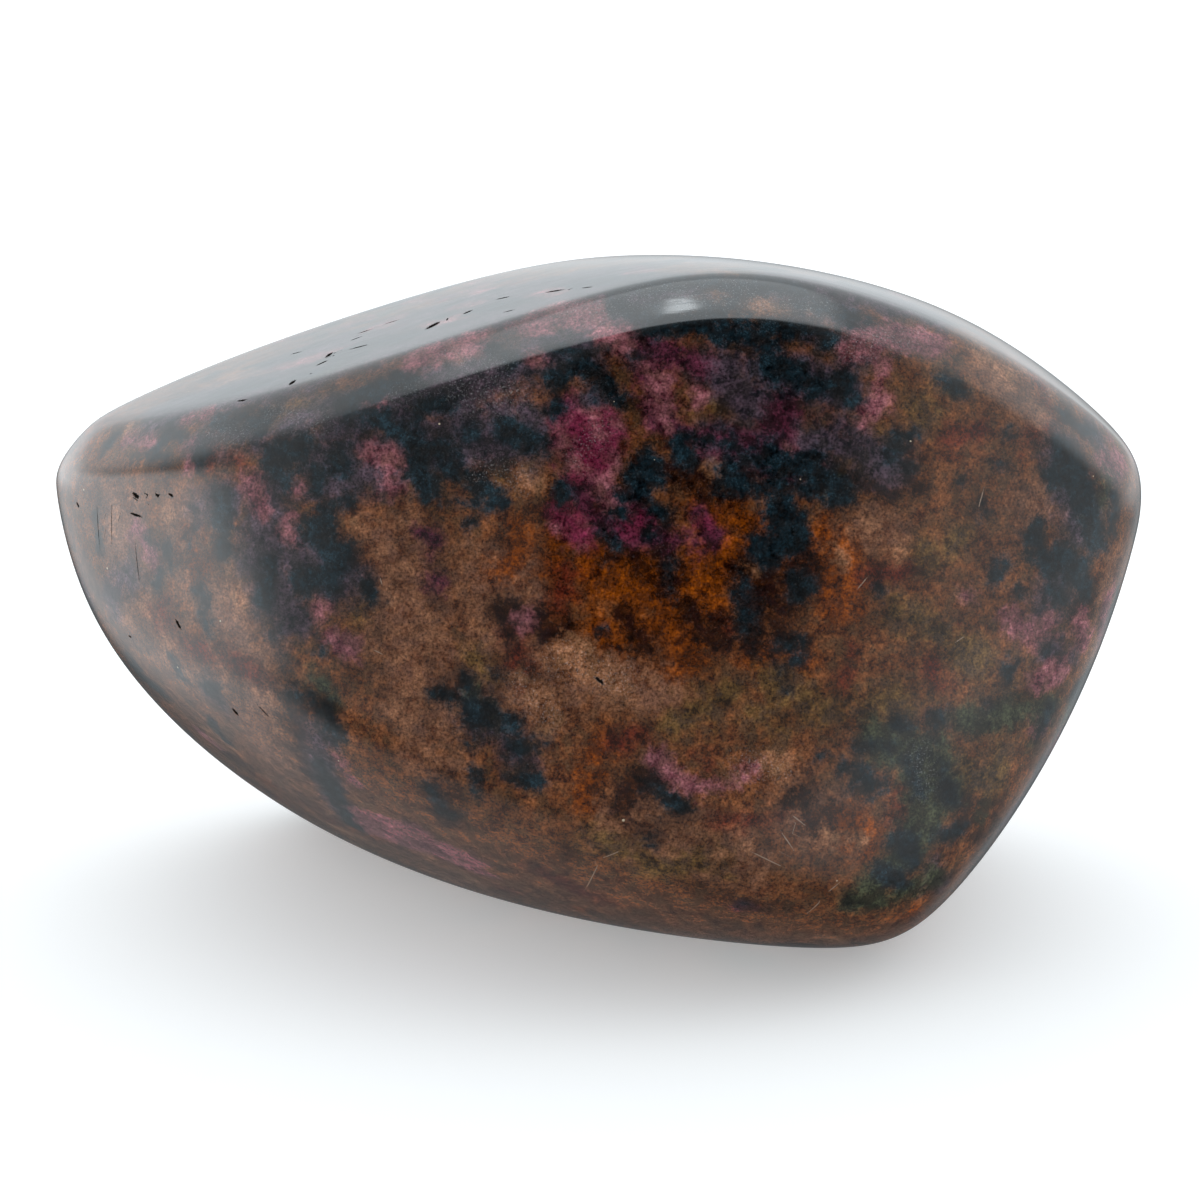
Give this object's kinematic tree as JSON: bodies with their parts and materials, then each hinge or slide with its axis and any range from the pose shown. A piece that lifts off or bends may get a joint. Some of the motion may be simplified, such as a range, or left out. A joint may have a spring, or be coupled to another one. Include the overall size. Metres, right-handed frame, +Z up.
{
  "type": "polished rhodonite freeform",
  "caption": "Lapped and polished freeform of rhodonite: a blunt-ended wedge with a sloping top, crowned sides and rolled edges, standing on a small flat spot.",
  "frame": {"origin": "on the surface the stone stands on, inside its flat spot and under its middle", "axes": "+X towards the blunt right end, along the longest side; -Y is the front broad face; +Z up"},
  "size_m": [0.1074, 0.0603, 0.0684],
  "materials": {
    "polished_rhodonite": "high polish over mottled brown, rose pink, orange and blue-black mineral, with small pits"
  },
  "bodies": {
    "root": {"rhodonite_stone": "polished_rhodonite"}
  },
  "joints": []
}
